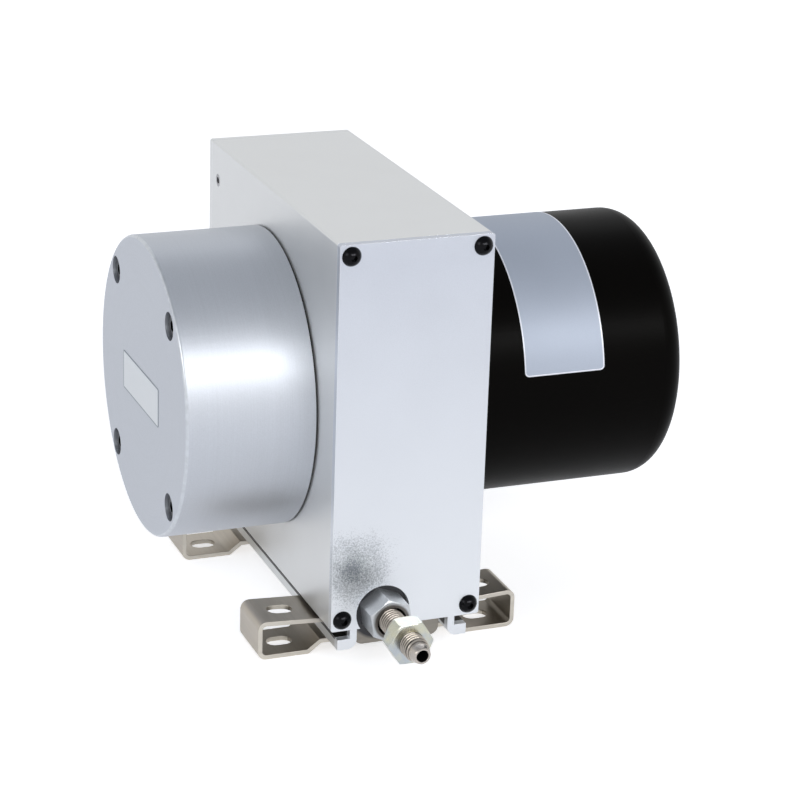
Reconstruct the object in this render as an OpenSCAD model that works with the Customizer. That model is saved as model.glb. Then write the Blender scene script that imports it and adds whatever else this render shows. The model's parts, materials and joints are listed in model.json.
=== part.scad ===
// Draw wire encoder: a steel wire wound on a spring-loaded drum turns a rotary sensor.
// X runs along the drum axis, from the spring side to the sensor side. The wire leaves
// towards -Y. Z is up, and z = 0 is the surface that the four clamp feet stand on.
// Lengths are in millimetres.

/* [Wire and drum] */
// Wire drawn out by one turn of the drum
wire_per_turn = 370; // [350:10:410]
// Diameter of the wire rope
wire_d = 0.8; // [0.6:0.1:1]
// Distance between two turns of wire on the drum
wire_pitch = 1; // [0.9:0.05:1.15]
// Turns of wire on the drum
wire_turns = 10; // [9:1:11]
// Height of the drum flanges over the wire's centre line
flange_over = 0.6; // [0.5:0.1:1]
// Thickness of each drum flange
flange_t = 1.2; // [1:0.1:1.5]
// Depth of the drum rim under the wire
rim_t = 3.5; // [3:0.5:5]
// Radius of the drum hub
hub_r = 11; // [10.5:0.5:13]
// Length of the drum hub
hub_len = 22; // [20:1:24]
// Thickness of the drum web
web_t = 4; // [3:0.5:6]
// Number of lightening holes in the drum web
web_holes = 6; // [4:1:8]

/* [Body] */
// Width of the body across its sides
body_w = 50; // [49:1:60]
// Thickness of the frame's side walls
side_wall = 3; // [2.5:0.25:4]
// Thickness of the frame's floor and ceiling
floor_wall = 2.3; // [2:0.1:3]
// Radius of the frame's long outer edges
edge_r = 0.8; // [0.4:0.1:1.5]
// Gap between the drum flange and the frame's ceiling
top_gap = 0.7; // [0.5:0.1:3]
// Gap between the drum flange and each end plate
end_gap = 2.5; // [2:0.5:6]
// Thickness of each end plate
plate_t = 2.5; // [2:0.25:4]
// Distance of the end plate screws from the edges
port_inset = 3.7; // [3.6:0.1:4]
// Radius of the screw ports in the frame's corners
port_r = 4.2; // [3.8:0.1:4.4]

/* [Rails] */
// Height of the groove that the clamp feet hook into
groove_h = 3; // [2.6:0.1:4]
// Thickness of the hook under the groove
hook_t = 3.6; // [3.2:0.2:5]
// Distance of a rail's leg from the middle of the body
leg_x = 15.4; // [15:0.1:16]
// Thickness of a rail's leg
leg_t = 2.3; // [2:0.1:2.8]
// Distance of a hook's tip from the middle of the body
hook_tip_x = 21.8; // [21:0.1:23]
// Radius of a rail's lower inner corner
rail_r = 3; // [2:0.2:3.2]
// Distance of the two rails' middle from the body's, towards the spring side
rail_shift = 0.9; // [0:0.1:1.2]

/* [Clamp feet] */
// Thickness of the feet's sheet steel
foot_t = 1.5; // [1.2:0.1:2]
// Height of a foot at its outer wall
foot_h = 13; // [12:0.5:16]
// Fall of a foot's upper jaw from the outer wall to the rail
jaw_fall = 1; // [0.6:0.1:1.4]
// Length of a foot along its rail
foot_len = 18.5; // [16:0.5:22]
// Distance of a foot's outer face from the middle of the body
foot_reach = 44.1; // [42:0.1:50]
// Inner radius of a foot's two outer bends
foot_bend = 1.4; // [1:0.1:2]
// How far the lower jaw rises to pass under the rail
jaw_rise = 3.2; // [2:0.1:3.6]
// Distance from the middle at which the lower jaw starts to rise
jaw_x = 27; // [26.4:0.2:28]
// Distance of a mounting slot from the middle of the body
slot_x = 34; // [33:0.5:36]
// Width of a mounting slot
slot_w = 6; // [4:0.5:7]
// End-to-end length of a mounting slot
slot_l = 8.5; // [8:0.5:10]
// Distance of a mounting slot from the middle along the rail
slot_y = 41; // [28:1:50]

/* [Wire outlet] */
// Distance of the outlet's axis from the middle of the body, towards the spring side
outlet_x = 7.7; // [7:0.1:8.2]
// Height of the outlet's axis over the body's underside
outlet_h = 4.9; // [4.5:0.1:7]
// Diameter of the cut-out round the outlet in the front plate
cutout_d = 17.8; // [17:0.2:19]
// Width across the flats of the outlet's hexagon
nozzle_af = 13; // [12.8:0.1:14]
// Length of the outlet's hexagon
nozzle_hex_l = 10.6; // [8:0.2:14]
// Angle to which the outlet's hexagon is tightened
nozzle_turn = 39; // [0:1:59]
// Bore of the outlet in which the wire end rests
nozzle_bore_d = 9.6; // [9:0.1:10]
// Diameter of the outlet's threaded shank
shank_d = 10; // [9:0.5:11]
// Thickness of the outlet block behind the front plate
block_t = 8; // [6:0.5:9]
// Height of the outlet block over the body's underside
block_top = 15.5; // [14.5:0.5:18]
// Thickness of the rubber stop in the outlet
stop_t = 2; // [1:0.2:3]

/* [Wire end] */
// Thread diameter of the wire end stud
stud_d = 8; // [6:0.5:8]
// Length of the wire end stud
stud_l = 31.9; // [28:0.1:40]
// Diameter of the stud's tapered tip
stud_tip_d = 5.4; // [4.6:0.1:5.8]
// Length of the stud's tapered tip
stud_taper_l = 5; // [3:0.5:7]
// Bore in the stud's tip
stud_bore_d = 4.1; // [3.8:0.1:4.3]
// Width across the flats of the stud's nut
nut_af = 13; // [12:0.5:14]
// Thickness of the stud's nut
nut_t = 6.5; // [4:0.5:8]
// Angle at which the nut stands
nut_turn = 2; // [0:1:59]
// Free thread between the outlet and the nut
nut_gap = 10.3; // [2:0.1:12]

/* [Spring side] */
// Outer diameter of the spring housing
spring_d = 97.2; // [96:0.2:100]
// Length of the spring housing from the body's side
spring_l = 42.5; // [40:0.5:60]
// Wall thickness of the spring housing
spring_wall = 2.8; // [2:0.2:4]
// Thickness of the spring housing's closed end
spring_end_t = 6; // [5.5:0.5:7]
// Radius of the spring housing's outer edge
spring_edge_r = 1.2; // [0.6:0.2:2]
// Pitch radius of the spring housing's four screws
tie_r = 42.4; // [42:0.1:43]
// Diameter of the counterbores for those screws
tie_bore_d = 9; // [8:0.2:9.6]
// Depth of those counterbores
tie_bore_h = 5; // [4.4:0.2:5]
// Thickness of the gasket behind each housing
gasket_t = 0.6; // [0.4:0.1:1]
// Inner radius of the spring chamber
chamber_r = 34.5; // [34:0.5:35]
// Thickness of the spring chamber's wall
chamber_wall = 4; // [3:0.5:4.5]
// Width of the mainspring's strip
strip_w = 20; // [16:1:21]
// Thickness of the mainspring's strip
strip_t = 0.5; // [0.4:0.1:0.8]
// Turns of the mainspring
strip_turns = 9; // [7:1:11]
// Radius of the arbor that winds the mainspring
arbor_r = 9; // [8:0.5:10]

/* [Sensor side] */
// Outer diameter of the sensor housing
sensor_d = 91; // [89:0.5:95]
// Length of the sensor housing from the body's side
sensor_l = 79.5; // [78:0.5:110]
// Wall thickness of the sensor housing
sensor_wall = 3; // [2.6:0.2:4]
// Radius of the sensor housing's outer edge
sensor_edge_r = 8; // [4:0.5:9]
// Thickness of the ring that carries the sensor housing
adapter_t = 9; // [8:0.5:12]
// Distance of the housing's three side screws from the body's side
side_screw_x = 5.5; // [5:0.25:6]
// Length of those side screws under their heads
side_screw_l = 8; // [6:0.5:8]
// Length of the pillars between the ring and the sensor plate
pillar_l = 24; // [23.6:0.2:26]
// Thickness of the sensor plate
sensor_plate_t = 2.5; // [2:0.5:4]
// Diameter of the sensor
pot_d = 22; // [18:1:26]
// Length of the sensor
pot_l = 19; // [12:1:20]
// Length of the pillars that carry the circuit board
board_pillar_l = 22; // [21:1:26]
// Thickness of the circuit board
board_t = 1.6; // [1:0.2:2]
// Bore of the cable gland
gland_bore_d = 6; // [4:0.5:7]

/* [Shaft and bearings] */
// Diameter of the shaft in its bearings
shaft_d = 10; // [9:0.5:10]
// Diameter of the shaft's two ends
shaft_end_d = 8; // [7:0.5:8.5]
// Outer diameter of a bearing
bearing_d = 26; // [24:1:28]
// Width of a bearing
bearing_w = 8; // [7:0.5:8]
// Number of balls in a bearing
ball_count = 8; // [6:1:9]
// Outer diameter of a bearing carrier's flange
carrier_d = 50; // [48:1:52]
// Thickness of a bearing carrier's flange
carrier_t = 3; // [2.5:0.5:4]
// Outer diameter of the coupling
coupling_d = 20; // [18:1:24]
// Diameter of the sensor's shaft
sensor_shaft_d = 6; // [5:0.5:6.5]

/* [Fits] */
// Radial clearance of parts that turn or slide on each other
run_fit = 0.04; // [0.02:0.01:0.08]
// Radial clearance of parts that are fixed in each other
seat_fit = 0.05; // [0.03:0.01:0.1]

/* [Hidden] */
$fn = 72;
eps = 0.01;

// Heights
drum_r = wire_per_turn / (2 * PI);
flange_r = drum_r + flange_over;
axis_h = outlet_h + drum_r;
body_h = axis_h + flange_r + top_gap + floor_wall;
body_z = foot_h - jaw_fall - foot_t + groove_h;
axis_z = body_z + axis_h;
outlet_z = body_z + outlet_h;
// Lengths along the body
frame_len = 2 * (flange_r + end_gap);
plate_y = frame_len / 2;
front_y = -plate_y - plate_t;
// Rails
rail_h = groove_h + hook_t;
// Screws: thread diameter, head diameter, head height
m3_pan = [3, 6.2, 2.2];
m3_cap = [3, 5.5, 3];
m4_cap = [4, 7, 4];
m2_cap = [2, 3.8, 1.6];
port_screw_l = 10;
// Side hole plug
plug_d = 4.2;
plug_y = plate_y - 6.6;
plug_z = body_z + body_h - 12.2;
// Bearings
ball_r = (bearing_d - shaft_d) / 8 + 0.2;
ball_ring_r = (bearing_d + shaft_d) / 4;
ring_step = 0.55 * ball_r;
spigot_r = bearing_d / 2 + 4;
carrier_bolt_r = carrier_d / 2 - 3.6;
ring_t = 1;
ring_r = shaft_d / 2 + 1.8;
// Drum
drum_w = wire_pitch * wire_turns + 2 * flange_t;
lead_turn = floor(wire_turns / 2);
first_turn_z = flange_t + wire_pitch / 2;
drum_x = -outlet_x - first_turn_z - lead_turn * wire_pitch;
web_x = drum_x + drum_w / 2 - web_t / 2;
rim_r = drum_r - rim_t;
// Spring side, measured outwards from the body's side
spring_end_x = -body_w / 2 - spring_l;
chamber_x = spring_end_x + spring_end_t;
strip_x = chamber_x + 1;
cover_t = 2;
cover_x = strip_x + strip_w + 1;
strip_pitch = (chamber_r - 3.4 - arbor_r) / (strip_turns + 0.25);
boss_r = tie_bore_d / 2 + 1;
anchor_r = chamber_r - 2.4;
anchor_d = 2.4;
shaft_left_x = chamber_x + 1.5;
tie_tail = 3;
// Sensor side
adapter_x = body_w / 2 + gasket_t;
adapter_out_r = sensor_d / 2 - sensor_wall - seat_fit;
pillar_d = 7;
pillar_r = sensor_d / 2 - side_screw_l - pillar_d / sqrt(3) - 0.45;
sensor_plate_x = adapter_x + adapter_t + pillar_l;
board_x = sensor_plate_x + sensor_plate_t + board_pillar_l;
board_r = sensor_d / 2 - sensor_wall - 3.5;
coupling_hub_l = 8.5;
coupling_gap = 3.5;
jaw_angle = 43;
coupling_x = sensor_plate_x - 6 - 2 * coupling_hub_l - coupling_gap;
shaft_right_x = coupling_x + coupling_hub_l;
sensor_shaft_x = coupling_x + coupling_hub_l + coupling_gap;
gland_x = sensor_plate_x + sensor_plate_t + board_pillar_l / 2;
gland_thread_d = 12;
gland_af = 16;
gland_seat_y = sensor_d / 2 - 1;
// Wire outlet
block_tab_t = 3.5;
bush_r = shank_d / 2 - 2;
// Wire end
stud_y = stop_seat_y() - stop_t;
ferrule_l = 6;
ferrule_d = 3.4;

// Y of the shoulder that the rubber stop lies on, inside the outlet's hexagon
function stop_seat_y() = -plate_y - 2.5;
// Y of the outlet's front face
function nozzle_front_y() = -plate_y - nozzle_hex_l;

// Puts local +Z along +X, on the drum axis
module on_axis(x) translate([x, 0, axis_z]) rotate([0, 90, 0]) children();

// Puts local +Z along -X, on the drum axis
module on_axis_back(x) translate([x, 0, axis_z]) rotate([0, -90, 0]) children();

// Puts local +Z along -Y, on the outlet's axis
module on_outlet(y) translate([-outlet_x, y, outlet_z]) rotate([90, 0, 0]) children();

// Copies round the local Z axis
module around(count, r, start = 0) {
    for (i = [0 : count - 1])
        rotate([0, 0, start + i * 360 / count]) translate([r, 0, 0]) children();
}

module tube(r_out, r_in, h) {
    difference() {
        cylinder(r = r_out, h = h);
        translate([0, 0, -eps]) cylinder(r = r_in, h = h + 2 * eps);
    }
}

module hexagon(af, h) cylinder(r = af / sqrt(3), h = h, $fn = 6);

// Hexagon whose two ends are turned down to a cone, as on a nut
module chamfered_hex(af, h, low = true, high = true) {
    corner_r = af / sqrt(3);
    drop = corner_r - af / 2 * 0.96;
    slope = drop * tan(30);
    intersection() {
        hexagon(af, h);
        union() {
            translate([0, 0, low ? slope : 0])
                cylinder(r = corner_r + eps, h = h - (low ? slope : 0) - (high ? slope : 0));
            if (low) cylinder(r1 = corner_r - drop, r2 = corner_r + eps, h = slope);
            if (high) translate([0, 0, h - slope])
                cylinder(r1 = corner_r + eps, r2 = corner_r - drop, h = slope);
        }
    }
}

// Screw with a domed head; the head's underside is at z = 0 and the head points to +Z
module pan_screw(size, length) {
    head_r = size[1] / 2;
    head_h = size[2];
    dome_r = (head_r * head_r + head_h * head_h) / (2 * head_h);
    difference() {
        union() {
            intersection() {
                cylinder(r = head_r, h = head_h);
                translate([0, 0, head_h - dome_r]) sphere(r = dome_r);
            }
            translate([0, 0, -length]) cylinder(d = size[0], h = length + eps);
        }
        translate([0, 0, head_h * 0.45]) hexagon(size[0] * 0.66, head_h);
    }
}

// Socket head screw; the head's underside is at z = 0 and the head points to +Z
module cap_screw(size, length) {
    difference() {
        union() {
            cylinder(d = size[1], h = size[2]);
            translate([0, 0, -length]) cylinder(d = size[0], h = length + eps);
        }
        translate([0, 0, size[2] * 0.4]) hexagon(size[0] * 0.8, size[2]);
    }
}

// Headless screw from z = 0 down to z = -length
module grub_screw(d, length) {
    difference() {
        translate([0, 0, -length]) cylinder(d = d, h = length);
        translate([0, 0, -length * 0.5]) hexagon(d * 0.5, length);
    }
}

// ---- Body ----

module rounded_rect(w, h, r) {
    translate([-w / 2 + r, 0]) square([w - 2 * r, h]);
    translate([-w / 2, r]) square([w, h - 2 * r]);
    for (x = [-w / 2 + r, w / 2 - r], y = [r, h - r]) translate([x, y]) circle(r = r);
}

// Cross-section of one rail, on the +X side, hanging from the line y = 0
module rail_section() {
    foot_w = hook_tip_x - leg_x;
    translate([leg_x, -rail_h + rail_r]) square([leg_t, rail_h - rail_r + edge_r]);
    translate([leg_x, -rail_h + rail_r]) square([foot_w, hook_t - rail_r]);
    translate([leg_x + rail_r, -rail_h]) square([foot_w - rail_r, hook_t]);
    intersection() {
        translate([leg_x + rail_r, -rail_h + rail_r]) circle(r = rail_r);
        translate([leg_x, -rail_h]) square(rail_r);
    }
}

// Outline that the frame shares with its two end plates
module body_outline() {
    rounded_rect(body_w, body_h, edge_r);
    translate([-rail_shift, 0]) {
        rail_section();
        mirror([1, 0]) rail_section();
    }
}

module at_ports() {
    for (x = [-1, 1], z = [port_inset, body_h - port_inset])
        translate([x * (body_w / 2 - port_inset), z]) children();
}

module frame_section() {
    difference() {
        body_outline();
        difference() {
            translate([-body_w / 2 + side_wall, floor_wall])
                square([body_w - 2 * side_wall, body_h - 2 * floor_wall]);
            at_ports() circle(r = port_r);
        }
        at_ports() circle(d = m3_pan[0] + 2 * seat_fit);
    }
}

module housing_frame() {
    color([0.80, 0.81, 0.82])
    difference() {
        translate([0, plate_y, body_z]) rotate([90, 0, 0]) linear_extrude(frame_len) frame_section();
        // Openings for the bearing carriers
        on_axis(-body_w / 2 - 1) cylinder(r = spigot_r + seat_fit, h = body_w + 2);
        // Threads for the carrier screws, the housing screws and the ring screws
        on_axis(-body_w / 2 - 1) {
            around(4, carrier_bolt_r) cylinder(d = m3_cap[0] + 2 * seat_fit, h = body_w + 2);
            around(4, tie_r, 45) cylinder(d = m4_cap[0] + 2 * seat_fit, h = side_wall + 2);
        }
        on_axis(body_w / 2 - side_wall - 1)
            around(4, pillar_r, 45) cylinder(d = m4_cap[0] + 2 * seat_fit, h = side_wall + 2);
        // Notch in the floor for the outlet block
        translate([block_left(), -plate_y - 1, body_z - eps]) cube([
            block_right() + seat_fit - block_left(), block_t + seat_fit + 1, floor_wall + 2 * eps]);
        // Threads for the outlet block's screws
        at_block_screws() translate([0, 0, body_z - 1])
            cylinder(d = m3_cap[0] + 2 * seat_fit, h = floor_wall + 2);
        // Side hole
        translate([-body_w / 2 - 1, plug_y, plug_z]) rotate([0, 90, 0])
            cylinder(d = plug_d + 2 * seat_fit, h = side_wall + 2);
    }
}

// End plate from the frame's end outwards, in the plate's own plane
module end_plate_section() {
    difference() {
        body_outline();
        at_ports() circle(d = m3_pan[0] + 0.4);
    }
}

module front_plate() {
    color([0.85, 0.87, 0.90])
    difference() {
        translate([0, -plate_y, body_z]) rotate([90, 0, 0]) linear_extrude(plate_t) end_plate_section();
        on_outlet(-plate_y + 1) cylinder(d = cutout_d, h = plate_t + 2);
    }
}

module rear_plate() {
    color([0.85, 0.87, 0.90])
        translate([0, plate_y + plate_t, body_z]) rotate([90, 0, 0])
            linear_extrude(plate_t) end_plate_section();
}

module plate_screws() {
    translate([0, 0, body_z]) rotate([90, 0, 0]) at_ports() pan_screw(m3_pan, port_screw_l);
}

module front_plate_screws() {
    color([0.06, 0.06, 0.07]) translate([0, front_y, 0]) plate_screws();
}

module rear_plate_screws() {
    color([0.06, 0.06, 0.07]) translate([0, -front_y, 0]) mirror([0, 1, 0]) plate_screws();
}

module side_plug_screw() {
    color([0.35, 0.35, 0.36])
        translate([-body_w / 2, plug_y, plug_z]) rotate([0, -90, 0]) grub_screw(plug_d, side_wall);
}

// ---- Clamp feet ----

module foot_bend_section(from_below) {
    r_out = foot_bend + foot_t;
    translate([foot_reach - r_out, from_below ? r_out : foot_h - r_out])
        intersection() {
            difference() {
                circle(r = r_out);
                circle(r = foot_bend);
            }
            translate([0, from_below ? -r_out : 0]) square(r_out);
        }
}

// Cross-section of a foot: upper jaw, outer wall, base and raised lower jaw
module foot_section() {
    r_out = foot_bend + foot_t;
    flat_end = foot_reach - r_out;
    jaw_end = jaw_x - 4.2;
    jaw_tip = leg_x + leg_t / 2;
    upper_tip = leg_x + leg_t + rail_shift + 0.3;
    upper_flat = hook_tip_x + rail_shift;
    upper_z = foot_h - jaw_fall;
    miter = foot_t * tan(atan2(jaw_rise, jaw_x - jaw_end) / 2);
    polygon([
        [upper_tip, upper_z - foot_t], [upper_flat, upper_z - foot_t], [flat_end, foot_h - foot_t],
        [flat_end, foot_h], [upper_flat, upper_z], [upper_tip, upper_z]
    ]);
    foot_bend_section(false);
    translate([foot_reach - foot_t, r_out]) square([foot_t, foot_h - 2 * r_out]);
    foot_bend_section(true);
    polygon([
        [flat_end, 0], [flat_end, foot_t], [jaw_x + miter, foot_t],
        [jaw_end + miter, jaw_rise + foot_t], [jaw_tip, jaw_rise + foot_t],
        [jaw_tip, jaw_rise], [jaw_end, jaw_rise], [jaw_x, 0]
    ]);
}

module slot(w, l, h) {
    translate([-(l - w) / 2, -w / 2, 0]) cube([l - w, w, h]);
    for (x = [-1, 1]) translate([x * (l - w) / 2, 0, 0]) cylinder(d = w, h = h);
}

module clamp_foot(side_x, side_y) {
    color([0.66, 0.63, 0.59])
    translate([0, side_y * slot_y, 0]) mirror([side_x < 0 ? 1 : 0, 0, 0])
        difference() {
            translate([0, foot_len / 2, 0]) rotate([90, 0, 0]) linear_extrude(foot_len) foot_section();
            translate([slot_x, 0, -1]) slot(slot_w, slot_l, foot_h + 2);
        }
}

module front_left_foot() clamp_foot(-1, -1);
module front_right_foot() clamp_foot(1, -1);
module rear_left_foot() clamp_foot(-1, 1);
module rear_right_foot() clamp_foot(1, 1);

// ---- Wire outlet ----

function block_left() = -leg_x - rail_shift;
function block_right() = leg_x - 3;
module at_block_screws() {
    for (x = [2.5, 8.5]) translate([x, -plate_y + block_t + 4, 0]) children();
}

// Block behind the front plate: it hangs through the floor between the rails
module outlet_block() {
    left = block_left() + seat_fit;
    width = block_right() - left;
    color([0.52, 0.50, 0.47])
    difference() {
        union() {
            translate([left, -plate_y, body_z - rail_h + rail_r])
                cube([width, block_t, rail_h - rail_r + block_top]);
            translate([left + rail_r, -plate_y, body_z - rail_h])
                cube([width - 2 * rail_r, block_t, rail_r + eps]);
            for (x = [left + rail_r, block_right() - rail_r])
                translate([x, -plate_y + block_t, body_z - rail_h + rail_r])
                    rotate([90, 0, 0]) cylinder(r = rail_r, h = block_t);
            // Tab that is screwed to the floor, beside the wire's path
            translate([-1, -plate_y + block_t - eps, body_z + floor_wall])
                cube([block_right() + 1, 8, block_tab_t]);
        }
        on_outlet(-plate_y + block_t + 1) cylinder(d = shank_d + 2 * seat_fit, h = block_t + 2);
        at_block_screws() translate([0, 0, body_z]) cylinder(d = m3_cap[0] + 0.4, h = block_top);
    }
}

module outlet_block_screws() {
    color([0.30, 0.30, 0.31])
        at_block_screws() translate([0, 0, body_z + floor_wall + block_tab_t])
            cap_screw(m3_cap, block_tab_t + floor_wall);
}

module outlet_nozzle() {
    color([0.72, 0.74, 0.76])
    difference() {
        union() {
            on_outlet(-plate_y) rotate([0, 0, nozzle_turn])
                chamfered_hex(nozzle_af, nozzle_hex_l, low = false);
            on_outlet(-plate_y + block_t) cylinder(d = shank_d, h = block_t + eps);
        }
        on_outlet(stop_seat_y()) cylinder(d = nozzle_bore_d, h = nozzle_hex_l);
        on_outlet(-plate_y + block_t + 1) cylinder(r = bush_r, h = block_t + 6);
    }
}

// Eyelet that the wire runs through, with a rounded inlet
module wire_guide_bush() {
    eye_r = wire_d / 2 + 0.4;
    inlet_r = bush_r - eye_r - 0.3;
    color([0.93, 0.92, 0.88])
    on_outlet(-plate_y + block_t)
        difference() {
            cylinder(r = bush_r - seat_fit, h = block_t - plate_y - stop_seat_y());
            translate([0, 0, -1]) cylinder(r = eye_r, h = block_t + 6);
            rotate_extrude() difference() {
                translate([0, -1]) square([eye_r + inlet_r, inlet_r + 1]);
                translate([eye_r + inlet_r, inlet_r]) circle(r = inlet_r);
            }
        }
}

module rubber_stop() {
    color([0.05, 0.05, 0.05])
        on_outlet(stop_seat_y()) tube(nozzle_bore_d / 2 - seat_fit, wire_d / 2 + 0.8, stop_t);
}

// ---- Wire end ----

module wire_stud() {
    straight_l = stud_l - stud_taper_l;
    shank_l = stud_y - nozzle_front_y() + nut_gap + nut_t + 0.3;
    relief_w = 0.8;
    color([0.74, 0.71, 0.67])
    on_outlet(stud_y)
        difference() {
            union() {
                cylinder(d = stud_d, h = shank_l - relief_w);
                // Thread relief that parts the nut's stretch from the free end
                cylinder(d = stud_d - 0.4, h = shank_l + eps);
                translate([0, 0, shank_l]) cylinder(d = stud_d, h = straight_l - shank_l + eps);
                translate([0, 0, straight_l])
                    cylinder(d1 = stud_d, d2 = stud_tip_d, h = stud_taper_l);
            }
            translate([0, 0, 4]) cylinder(d = stud_bore_d, h = stud_l);
            translate([0, 0, -1]) cylinder(d = wire_d + 2 * run_fit, h = 6);
        }
}

module stud_nut() {
    color([0.80, 0.82, 0.74])
    on_outlet(nozzle_front_y() - nut_gap) rotate([0, 0, nut_turn])
        difference() {
            chamfered_hex(nut_af, nut_t);
            translate([0, 0, -1]) cylinder(d = stud_d + 2 * seat_fit, h = nut_t + 2);
        }
}

// Crimped sleeve that holds the wire inside the stud
module wire_ferrule() {
    color([0.75, 0.62, 0.35])
        on_outlet(stud_y - 4) cylinder(d = ferrule_d, h = ferrule_l);
}

// Straight stretch of wire from the drum to the ferrule
module wire_lead() {
    color([0.70, 0.70, 0.70]) on_outlet(0) cylinder(d = wire_d, h = -stud_y + 4, $fn = 24);
}

// ---- Drum and shaft ----

module drum() {
    color([0.70, 0.71, 0.73])
    on_axis(drum_x)
        difference() {
            union() {
                tube(drum_r, rim_r, drum_w);
                for (z = [0, drum_w - flange_t]) translate([0, 0, z]) tube(flange_r, rim_r, flange_t);
                translate([0, 0, web_x - drum_x]) tube(rim_r + eps, hub_r - eps, web_t);
                tube(hub_r, shaft_d / 2 + seat_fit, hub_len);
            }
            for (i = [0 : wire_turns - 1])
                rotate_extrude() translate([drum_r, first_turn_z + i * wire_pitch])
                    circle(d = wire_d + 2 * seat_fit, $fn = 24);
            translate([0, 0, -1]) around(web_holes, (hub_r + rim_r) / 2)
                cylinder(r = (rim_r - hub_r) * 0.3, h = drum_w + 2);
            translate([0, 0, hub_len - 4]) rotate([0, 90, 0])
                cylinder(d = m4_cap[0] + 2 * seat_fit, h = hub_r + 1);
            translate([0, 0, hub_len - 4]) rotate([-90, 0, 0])
                cylinder(d = m4_cap[0] + 2 * seat_fit, h = hub_r + 1);
        }
}

module drum_set_screws() {
    screw_l = hub_r - shaft_d / 2 - 0.6;
    color([0.20, 0.20, 0.21])
    on_axis(drum_x + hub_len - 4)
        for (turn = [[0, 90, 0], [-90, 0, 0]])
            rotate(turn) translate([0, 0, hub_r - 0.5]) grub_screw(m4_cap[0], screw_l);
}

// One ring for each turn of wire; the turn that the straight lead leaves ends at the bottom
module wire_turns_on_drum() {
    color([0.62, 0.62, 0.63])
    on_axis(drum_x + first_turn_z)
        for (i = [0 : wire_turns - 1])
            translate([0, 0, i * wire_pitch]) rotate_extrude(angle = i == lead_turn ? 345 : 360)
                translate([drum_r, 0]) circle(d = wire_d, $fn = 24);
}

module drum_shaft() {
    body_l = body_w + 2 * (carrier_t + ring_t + 0.6);
    groove_r = shaft_d / 2 - 0.5;
    color([0.78, 0.78, 0.79])
    difference() {
        union() {
            on_axis(-body_l / 2) cylinder(d = shaft_d, h = body_l);
            on_axis(shaft_left_x) cylinder(d = shaft_end_d, h = -body_l / 2 - shaft_left_x + eps);
            on_axis(body_l / 2 - eps) cylinder(d = shaft_end_d, h = shaft_right_x - body_l / 2 + eps);
        }
        for (side = [-1, 1]) on_axis(side * ring_mid_x() - ring_t / 2 - seat_fit)
            tube(shaft_d, groove_r, ring_t + 2 * seat_fit);
        arbor_pin_hole();
    }
}

// Retaining rings on the bearings' outer sides, which keep the shaft in place
function ring_mid_x() = body_w / 2 + ring_t / 2;
module shaft_rings() {
    color([0.25, 0.25, 0.26])
    for (side = [-1, 1]) on_axis(side * ring_mid_x() - ring_t / 2)
        difference() {
            tube(ring_r, shaft_d / 2 - 0.5 + seat_fit, ring_t);
            translate([0, -1.2, -1]) cube([ring_r + 1, 2.4, ring_t + 2]);
        }
}

// ---- Bearings ----

module bearing_groove(clearance) {
    translate([0, 0, bearing_w / 2])
        rotate_extrude() translate([ball_ring_r, 0]) circle(r = ball_r + clearance);
}

module bearing_outer() {
    color([0.72, 0.73, 0.74]) difference() {
        tube(bearing_d / 2, ball_ring_r + ring_step, bearing_w);
        bearing_groove(run_fit);
    }
}

module bearing_inner() {
    color([0.72, 0.73, 0.74]) difference() {
        tube(ball_ring_r - ring_step, shaft_d / 2 + seat_fit, bearing_w);
        bearing_groove(run_fit);
    }
}

module bearing_balls() {
    color([0.85, 0.85, 0.86])
        translate([0, 0, bearing_w / 2]) around(ball_count, ball_ring_r) sphere(r = ball_r);
}

// Carrier with its flange on the body's side and its spigot through the wall
module bearing_carrier() {
    color([0.60, 0.61, 0.63])
    difference() {
        union() {
            translate([0, 0, -carrier_t]) cylinder(d = carrier_d, h = carrier_t);
            cylinder(r = spigot_r, h = bearing_w);
        }
        cylinder(r = bearing_d / 2 + seat_fit, h = bearing_w + 1);
        translate([0, 0, -carrier_t - 1]) cylinder(r = bearing_d / 2 - 3, h = carrier_t + 2);
        translate([0, 0, -carrier_t - 1]) around(4, carrier_bolt_r)
            cylinder(d = m3_cap[0] + 0.4, h = carrier_t + 2);
    }
}

module carrier_screws() {
    color([0.30, 0.30, 0.31])
        translate([0, 0, -carrier_t]) mirror([0, 0, 1]) around(4, carrier_bolt_r)
            cap_screw(m3_cap, carrier_t + side_wall);
}

module left_bearing_carrier() on_axis(-body_w / 2) bearing_carrier();
module left_carrier_screws() on_axis(-body_w / 2) carrier_screws();
module left_bearing_outer() on_axis(-body_w / 2) bearing_outer();
module left_bearing_balls() on_axis(-body_w / 2) bearing_balls();
module left_bearing_inner() on_axis(-body_w / 2) bearing_inner();
module right_bearing_carrier() on_axis_back(body_w / 2) bearing_carrier();
module right_carrier_screws() on_axis_back(body_w / 2) carrier_screws();
module right_bearing_outer() on_axis_back(body_w / 2) bearing_outer();
module right_bearing_balls() on_axis_back(body_w / 2) bearing_balls();
module right_bearing_inner() on_axis_back(body_w / 2) bearing_inner();

// ---- Spring side ----

module spring_housing_gasket() {
    color([0.07, 0.07, 0.07])
    on_axis(-body_w / 2 - gasket_t)
        difference() {
            tube(spring_d / 2 - 0.6, spring_d / 2 - spring_wall, gasket_t);
            around(4, tie_r, 45) translate([0, 0, -1]) cylinder(r = boss_r + 0.3, h = gasket_t + 2);
        }
}

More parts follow.
